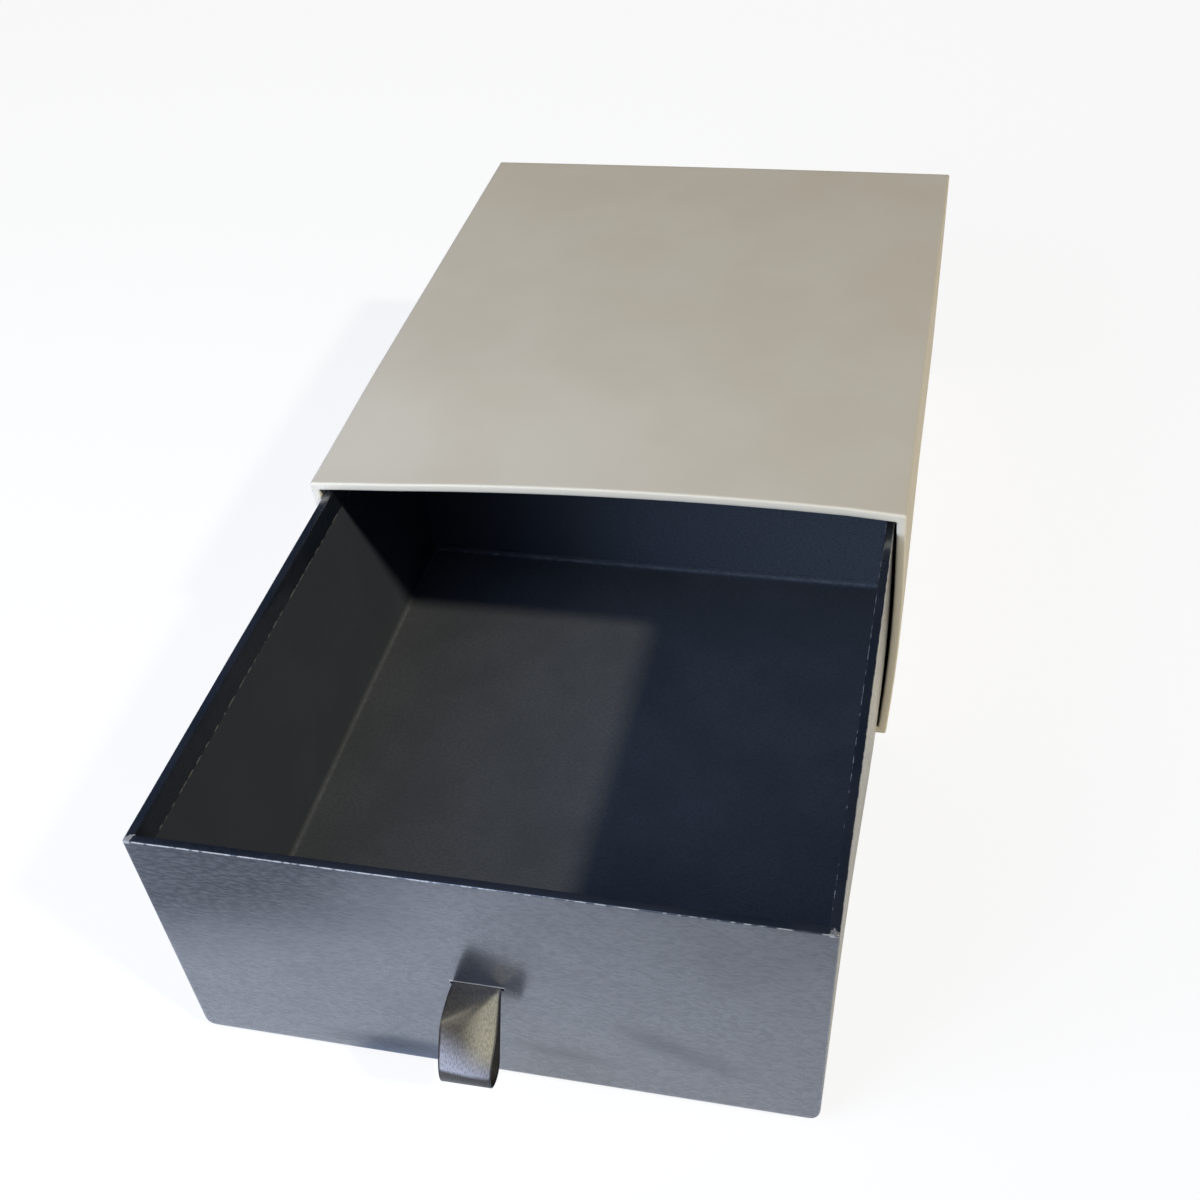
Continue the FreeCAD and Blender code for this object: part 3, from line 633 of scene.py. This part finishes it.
def drawerSkin():
    half, front, back, foot, top = (drawer[key] for key in ("half", "front", "back", "foot", "top"))
    rim, baseHalf, (baseFront, baseBack) = drawer["rim"], drawer["baseHalf"], drawer["baseEnds"]
    (slitLeft, slitRight), (slitFoot, slitTop) = drawer["slitX"], drawer["slitZ"]
    middleY, halfLength, fray = (front + back) / 2, (back - front) / 2, drawer["slitFray"]
    piece = startBox("drawer_skin", (-half, front, foot), (half, back, top))
    pick(piece, "FACE", lambda middle, normal: normal.z > facing)
    bpy.ops.mesh.delete(type="FACE")
    roundEdges(piece, drawer["corner"], lambda middle, run: middle.z < top - 1)
    foldIn(piece, lambda middle, run: middle.z > top - touch and abs(run.z) < touch, rim,
           (half, halfLength, None), (0, middleY, top), (0, 0, -drawer["turnIn"]))

    def rimEdge(middle, run):
        squareRun = max(abs(run.x), abs(run.y)) > 150 or run.length < arcEdge
        return middle.z > top - touch and abs(run.z) < touch and squareRun

    roundEdges(piece, drawer["rimFold"], rimEdge)
    cutForKnock(piece)
    cutAcross(piece, 0, steps(-84, 84, 6) + [-baseHalf, baseHalf])
    cutAcross(piece, 1, [*steps(front, back, 14), baseFront, baseBack, *drawer["leanCuts"]])
    cutAcross(piece, 2, drawer["cutsUp"])
    for axis, low, high in ((0, slitLeft, slitRight), (2, slitFoot, slitTop)):
        cutAcross(piece, axis, [low - fray, low, high, high + fray, high + 0.8])
    # the skin only laps round under the base
    pick(piece, "FACE", lambda middle, normal: normal.z < -facing and middle.z < foot + touch
         and abs(middle.x) < baseHalf and baseFront < middle.y < baseBack)
    bpy.ops.mesh.delete(type="FACE")
    pick(piece, "FACE", lambda middle, normal: middle.y < front + touch
         and slitLeft < middle.x < slitRight and slitFoot < middle.z < slitTop)
    bpy.ops.mesh.delete(type="FACE")
    pick(piece, "EDGE", lambda middle, run: middle.y < front + touch
         and slitLeft - touch < middle.x < slitRight + touch
         and slitFoot - touch < middle.z < slitTop + touch)
    bpy.ops.mesh.extrude_edges_move(
        TRANSFORM_OT_translate={"value": (0, drawer["slitDepth"] * mm, 0)})

    def worn(corner):
        x, y, z = corner
        inward = min(half - abs(x), y - front, back - y)
        down, near, (deep, wide) = top - z, rubbing["near"], rubbing["overlap"]
        if down < deep and y < front + wide and abs(x) > half - wide:
            return rubbing["rimCorners"]
        if max(inward, down) < near:
            most, fall, start, end = rubbing["outerFold"]
            atFront = y < front + 18
            return most - fall * smooth(start, end, x) if atFront else rubbing["outerFoldElsewhere"]
        if abs(inward - rim) < near and down < near:
            return rubbing["innerFoldRight" if x > 90 else "innerFold"]
        if down > drawer["turnIn"] - 0.05 and abs(inward - rim) < 0.2:
            return rubbing["lapEdge"]
        overSlit = slitLeft - 0.1 < x < slitRight + 0.1 and 0 <= z - slitTop + touch < near
        return rubbing["slitTop"] if overSlit and abs(y - front) < touch else 0.0

    bpy.ops.object.mode_set(mode="OBJECT")
    mark(piece, "rubbed", worn)
    reshape(piece, lambda corner: bellied(leaned(knocked(corner))))
    finish(piece, drawer["skin"])
    dress(piece, materials["leatherette"])
    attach(piece, "drawer")
    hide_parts("drawer_wrap")


def boxOf(name):
    # the low and the high corner of a carried-over node
    corners = [nodes[name].matrix_world @ corner.co / mm for corner in nodes[name].data.vertices]
    return [[least(corner[axis] for corner in corners) for axis in range(3)] for least in (min, max)]


def openSlit(piece):
    # the ribbon's slit, right through the front board
    (left, right), (low, high) = drawer["slitX"], drawer["slitZ"]
    cutAcross(piece, 0, drawer["slitX"])
    cutAcross(piece, 2, drawer["slitZ"])
    pick(piece, "FACE", lambda middle, normal: abs(normal.y) > facing
         and left < middle.x < right and low < middle.z < high)
    bpy.ops.mesh.delete(type="FACE")
    pick(piece, "EDGE", lambda middle, run: abs(run.y) < touch
         and left - touch < middle.x < right + touch and low - touch < middle.z < high + touch)
    bpy.ops.mesh.bridge_edge_loops()


def drawerBoards():
    # the boards under the skin, their bottom corners at the front knocked round with it
    board, tape = drawer["board"], drawer["tape"]
    for part in ("front", "left", "right", "base"):
        piece = startBox(f"drawer_{part}_board_knocked", *boxOf(f"drawer_{part}_board"))
        if part == "front":
            roundEdges(piece, board["corner"], lambda middle, run: abs(run.z) > 50
                       and middle.y < drawer["front"] + 1)
        cutForKnock(piece)
        if part == "front":
            openSlit(piece)
        cutAcross(piece, 1, drawer["leanCuts"])
        reshape(piece, lambda corner: leaned(knocked(corner, board["depth"])))
        finish(piece)
        dress(piece, materials["greyboard"])
        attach(piece, "drawer")
        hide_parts(f"drawer_{part}_board")
    for side, sign in (("left", -1), ("right", 1)):
        low, high = boxOf(f"drawer_tape_front_{side}")
        piece = startBox(f"drawer_tape_front_{side}_folded", low, high)
        pick(piece, "FACE", lambda middle, normal: normal.y > -facing and normal.x * sign < facing)
        bpy.ops.mesh.delete(type="FACE")
        roundEdges(piece, tape["corner"], lambda middle, run: abs(run.z) > 50
                   and abs(middle.x) > 100 and middle.y < low[1] + 0.1)
        cutForKnock(piece)
        reshape(piece, lambda corner: leaned(knocked(corner, tape["depth"])))
        finish(piece, tape["thick"])
        dress(piece, materials["stay_tape"])
        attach(piece, "drawer")
        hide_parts(f"drawer_tape_front_{side}")


lining = {
    "paper": 0.15, "wallHalf": 98.57, "wallEnds": (-294.76, -48.43), "wallHeights": (6.4, 85.72),
    "wallCorner": 1.5, "floorHalf": 98.4, "floorEnds": (-294.59, -48.6), "floorFoot": 6.23,
    "floorUpturn": 2.6, "floorFold": 1.3, "paintedLight": 0.75, "paintedLightAcross": (-62, 15),
    "paintedLightCuts": (-60, -40, -20, 0, 20), "backReach": 0.57, "topRub": 0.6, "topFrom": (85.2, 85.7),
    "cornerRub": 0.5, "cornerReach": 1.37, "backCrease": 0.8, "creases": 0.24}


def paintedLightAt(corner):
    # painted light: from the middle of the back wall to its right, where cool light comes in through
    # the mouth, the paper is made paler and bluer
    return lining["paintedLight"] * smooth(*lining["paintedLightAcross"], corner.x)


def drawerWallSheet():
    half, (front, back), (foot, top) = lining["wallHalf"], lining["wallEnds"], lining["wallHeights"]
    piece = startBox("drawer_wall_sheet", (-half, front, foot), (half, back, top))
    pick(piece, "FACE", lambda middle, normal: abs(normal.z) > facing)
    bpy.ops.mesh.delete(type="FACE")
    roundEdges(piece, lining["wallCorner"], lambda middle, run: abs(run.z) > 50, 4)
    cutAcross(piece, 0, [*lining["paintedLightCuts"], 97])
    cutAcross(piece, 1, drawer["leanCuts"])
    cutAcross(piece, 2, [8, 20, 84.9])

    def worn(corner):
        reach = lining["cornerReach"]
        inCorner = abs(corner.x) > half - reach and corner.y > back - reach
        atTop = smooth(*lining["topFrom"], corner.z)
        return max(atTop * lining["topRub"], lining["cornerRub"] * inCorner)

    bpy.ops.object.mode_set(mode="OBJECT")
    # painted light on the back wall, growing towards its right
    mark(piece, "paintedLight", lambda corner: paintedLightAt(corner) * (corner.y > back - lining["backReach"]))
    mark(piece, "rubbed", worn)
    reshape(piece, leaned)
    finish(piece, lining["paper"])
    dress(piece, materials["black_wall"])
    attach(piece, "drawer")
    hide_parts("drawer_wall_lining")


def drawerFloorSheet():
    half, (front, back), foot = lining["floorHalf"], lining["floorEnds"], lining["floorFoot"]
    fold = lining["floorFold"]
    piece = startBox("drawer_floor_sheet", (-half, front, foot),
                     (half, back, foot + lining["floorUpturn"]))
    pick(piece, "FACE", lambda middle, normal: normal.z > facing)
    bpy.ops.mesh.delete(type="FACE")
    roundEdges(piece, fold, lambda middle, run: middle.z < foot + 2, 4)
    cutAcross(piece, 0, [-95.5, -88, *lining["paintedLightCuts"], 88, 95.5])
    cutAcross(piece, 1, [front + 3, *drawer["leanCuts"], back - 3])

    def creased(corner):
        inward = min(half - abs(corner.x), corner.y - front, back - corner.y)
        if inward > fold - 0.02 or corner.z > foot + fold - touch:
            return 0.0
        return lining["backCrease"] if corner.y > back - fold else lining["creases"]

    bpy.ops.object.mode_set(mode="OBJECT")
    mark(piece, "rubbed", creased)
    # the same painted light, on the floor sheet's upturn along the back wall
    mark(piece, "paintedLight", lambda corner: paintedLightAt(corner) * (corner.y > back - fold - 0.05))
    reshape(piece, leaned)
    finish(piece, lining["paper"])
    dress(piece, materials["black_lining"])
    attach(piece, "drawer")
    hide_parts("drawer_floor_lining")


drawerSkin()
drawerBoards()
drawerWallSheet()
drawerFloorSheet()
print("drawer wrapped and lined")


# the ribbon: its run from the slit, out, over and back is given for its left edge, which arches
# wide, and its right edge, which hangs flatter, each as (out from the front, above the slit)
ribbon = {
    "middle": -2.0, "width": 15.0, "thickness": 0.34, "slitZ": 48.54, "front": -298.0,
    "leftEdge": [(0.6, 0.2), (5.9, 0.6), (13.3, -1.9), (18.9, -8.2), (21.7, -15), (20.9, -20),
                 (17.6, -22), (13.6, -20.4), (9, -14.3), (4.5, -6.5), (0.6, -0.22)],
    "rightEdge": [(0.6, 0.2), (3.6, -2.6), (9.3, -8.4), (16.2, -13.4), (20.0, -17.2), (20.6, -20.2),
                  (17, -22.8), (12.6, -21.8), (8.9, -15.4), (4.9, -7.6), (0.6, -0.22)],
    "tailPlane": -295.33, "tailTop": 82.7, "tailFoot": 9.1, "strand": 0.22,
    "columns": 24, "rows": 240, "finer": 24, "flat": (0.015, 0.146),
    "crease": 0.75, "creaseHalf": 4.5, "creaseRun": (0.9, -0.5), "creaseSlope": (0.74, 0.62)}


def loopLine(side):
    # side 0 is the left edge and side 1 the right
    pairs = zip(ribbon["leftEdge"], ribbon["rightEdge"])
    return [(a[0] + (b[0] - a[0]) * side, a[1] + (b[1] - a[1]) * side) for a, b in pairs]


def wholeLine(side):
    # from the upper tail, through the slit, round the loop and back to the lower tail: (y, z)
    wall, slit, strand = ribbon["tailPlane"], ribbon["slitZ"], ribbon["strand"]
    loop = [(ribbon["front"] - out, slit + above) for out, above in loopLine(side)]
    loop[0], loop[-1] = (loop[0][0], slit + strand), (loop[-1][0], slit - strand)
    upper = [(wall, ribbon["tailTop"]), (wall, 70), (wall, 58), (wall, 51.5),
             (wall - 0.35, slit + 0.7), (wall - 1.4, slit + strand)]
    lower = [(wall - 1.4, slit - strand), (wall - 0.35, slit - 0.7),
             (wall, 45.5), (wall, 36), (wall, 22), (wall, ribbon["tailFoot"])]
    return upper + loop + lower


def alongLine(line, count):
    # evenly spaced points on the smooth curve through the points of a line
    dense, last, finer = [], len(line) - 1, ribbon["finer"]
    for i in range(last):
        before, a, b, after = (Vector(line[min(max(i + j, 0), last)]) for j in (-1, 0, 1, 2))
        run = (b - a).length
        tangentA = (b - before).normalized() * run
        tangentB = (after - a).normalized() * run
        for step in range(finer):
            t = step / finer
            dense.append(a * (2 * t ** 3 - 3 * t ** 2 + 1) + tangentA * (t ** 3 - 2 * t ** 2 + t)
                         + b * (3 * t ** 2 - 2 * t ** 3) + tangentB * (t ** 3 - t ** 2))
    dense.append(Vector(line[-1]))
    lengths = [0.0]
    for a, b in zip(dense, dense[1:]):
        lengths.append(lengths[-1] + (b - a).length)
    points, at = [], 0
    for i in range(count + 1):
        goal = lengths[-1] * i / count
        while at < len(dense) - 2 and lengths[at + 1] < goal:
            at += 1
        share = (goal - lengths[at]) / (lengths[at + 1] - lengths[at])
        points.append(dense[at].lerp(dense[at + 1], share))
    return points


def ribbonPull():
    columns, rows, width = ribbon["columns"], ribbon["rows"], ribbon["width"]
    bpy.ops.object.select_all(action="DESELECT")
    bpy.ops.mesh.primitive_grid_add(x_subdivisions=columns, y_subdivisions=rows, size=1)
    piece = bpy.context.object
    piece.name = piece.data.name = "ribbon_pull"
    lines = [alongLine(wholeLine(i / columns), rows) for i in range(columns + 1)]
    for corner in piece.data.vertices:
        across, along = corner.co.x + 0.5, corner.co.y + 0.5
        line, row = lines[round(across * columns)], round(along * rows)
        y, z = line[row]
        out, above = ribbon["front"] - y, z - ribbon["slitZ"]
        x = ribbon["middle"] + (across - 0.5) * width
        ahead, behind = line[min(row + 1, rows)], line[max(row - 1, 0)]
        run = (ahead - behind).normalized()
        if out > 0.8 and along < 0.5:
            # a crease runs from the right end of the slit down towards the left
            outwards, upwards = ribbon["creaseRun"]
            down, leftwards = ribbon["creaseSlope"]
            travelled = out * outwards + above * upwards
            fromCrease = travelled * down - (1 - across) * width * leftwards
            ridge = max(0, 1 - abs(fromCrease) / ribbon["creaseHalf"]) * smooth(0, 3, out)
            y += run.y * ribbon["crease"] * ridge
            z -= run.x * ribbon["crease"] * ridge
        corner.co = Vector((x, y, z)) * mm
    bpy.ops.object.mode_set(mode="EDIT")
    bpy.ops.mesh.select_all(action="SELECT")
    bpy.ops.mesh.normals_make_consistent(inside=False)
    bpy.ops.object.mode_set(mode="OBJECT")
    weave = piece.modifiers.new("thickness", "SOLIDIFY")
    weave.thickness = ribbon["thickness"] * mm
    weave.offset = 0
    bpy.ops.object.modifier_apply(modifier=weave.name)
    bpy.ops.object.shade_smooth_by_angle(angle=math.radians(50))
    dress(piece, materials["ribbon"])
    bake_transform(piece)
    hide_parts("ribbon_pull_loop", "ribbon_tails")


ribbonPull()
print("ribbon threaded")


# floor, lights and camera, in metres
studio = {
    "floorSize": 12.0, "floor": "#f2f2f2", "floorGlow": 0.86, "backdrop": "#ffffff",
    "sky": (0.042, 0.06, 0.12), "skyMirrored": 0.5,  # mirrored in the box, the sky is half as bright
    "keyPower": 2.45, "keyColour": "#fff8e2", "keyTravel": (-1.04, 0.46, -1.0), "keyAngle": 3.6,
    "panels": [{"name": "high_panel", "power": 3.7, "colour": "#b8d0fa", "size": 0.6,
                "place": (-0.33, -0.55, 0.45)},
               {"name": "low_panel", "power": 8.0, "colour": "#dce6fc", "size": 0.6,
                "place": (-0.6, -0.8, 0.42)}],
    "panelAim": (0, -0.1, 0.05)}
view = {
    "place": (0.1114, -0.5277, 0.399), "aim": (-0.00218, -0.14745, 0.0), "roll": -0.0996,
    "focal": 1458.2, "centreDown": 740.0, "picture": 1200.0,  # in the picture's pixels
    "sensor": 36, "clipStart": 0.01}


def layFloor():
    bpy.ops.object.select_all(action="DESELECT")
    bpy.ops.mesh.primitive_plane_add(size=studio["floorSize"], location=(0, 0, 0))
    floor = bpy.context.object
    floor.name = "studio_floor"
    # matt white paint, lit like any other, that glows only for what looks straight at it
    material = startMaterial("matt_white_floor")
    straight = addNode(material, "LightPath", output="Is Camera Ray")
    through = addNode(material, "LightPath", output="Is Transmission Ray")
    seen = addNode(material, "Math", [straight, through], operation="MAXIMUM")
    share = addNode(material, "Math", [seen, studio["floorGlow"]], operation="MULTIPLY")
    paint = addNode(material, "BsdfDiffuse", {"Color": linear(studio["floor"])})
    glow = addNode(material, "Emission", {"Color": (1, 1, 1, 1), "Strength": 1.0})
    mixed = addNode(material, "MixShader", [share, paint, glow])
    addNode(material, "OutputMaterial", [mixed])
    dress(floor, material)


def hangLights():
    key = bpy.data.objects.new("key_light", bpy.data.lights.new("key_light", "SUN"))
    key.data.energy = studio["keyPower"]
    key.data.color = linear(studio["keyColour"])[:3]
    key.data.angle = math.radians(studio["keyAngle"])
    key.rotation_euler = Vector(studio["keyTravel"]).to_track_quat("-Z", "Y").to_euler()
    lamps = [key]
    for panel in studio["panels"]:
        lamp = bpy.data.objects.new(panel["name"], bpy.data.lights.new(panel["name"], "AREA"))
        lamp.data.energy = panel["power"]
        lamp.data.color = linear(panel["colour"])[:3]
        lamp.visible_camera = False
        lamp.data.size = panel["size"]
        lamp.location = panel["place"]
        aim = Vector(studio["panelAim"]) - Vector(panel["place"])
        lamp.rotation_euler = aim.to_track_quat("-Z", "Y").to_euler()
        lamps.append(lamp)
    for lamp in lamps:
        bpy.context.scene.collection.objects.link(lamp)
    world = bpy.data.worlds.new("studio_air")
    bpy.context.scene.world = world
    world.use_nodes = True
    world.node_tree.nodes.clear()
    glossy = addNode(world, "LightPath", output="Is Glossy Ray")
    dimming = addNode(world, "Math", [glossy, studio["skyMirrored"]], operation="MULTIPLY")
    strength = addNode(world, "Math", [1.0, dimming], operation="SUBTRACT")
    air = addNode(world, "Background", {"Color": (*studio["sky"], 1.0), "Strength": strength})
    backdrop = addNode(world, "Background", {"Color": linear(studio["backdrop"]), "Strength": 1.0})
    straight = addNode(world, "LightPath", output="Is Camera Ray")
    mixed = addNode(world, "MixShader", [straight, air, backdrop])
    addNode(world, "OutputWorld", [mixed])


def setCamera():
    place = Vector(view["place"])
    forward = (Vector(view["aim"]) - place).normalized()
    level = forward.cross(Vector((0, 0, 1))).normalized()
    upright = level.cross(forward)
    turn, lean = math.cos(view["roll"]), math.sin(view["roll"])
    right = level * turn + upright * lean
    up = upright * turn - level * lean
    camera = bpy.data.objects.new("camera", bpy.data.cameras.new("camera"))
    turned = Matrix((right, up, -forward)).transposed().to_4x4()
    camera.matrix_world = Matrix.Translation(place) @ turned
    camera.data.sensor_width = view["sensor"]
    camera.data.lens = view["focal"] / view["picture"] * view["sensor"]
    camera.data.shift_y = (view["centreDown"] - view["picture"] / 2) / view["picture"]
    camera.data.clip_start = view["clipStart"]
    bpy.context.scene.collection.objects.link(camera)
    bpy.context.scene.camera = camera


layFloor()
hangLights()
setCamera()
bpy.context.scene.view_settings.view_transform = "Standard"
print("floor, lights and camera set")
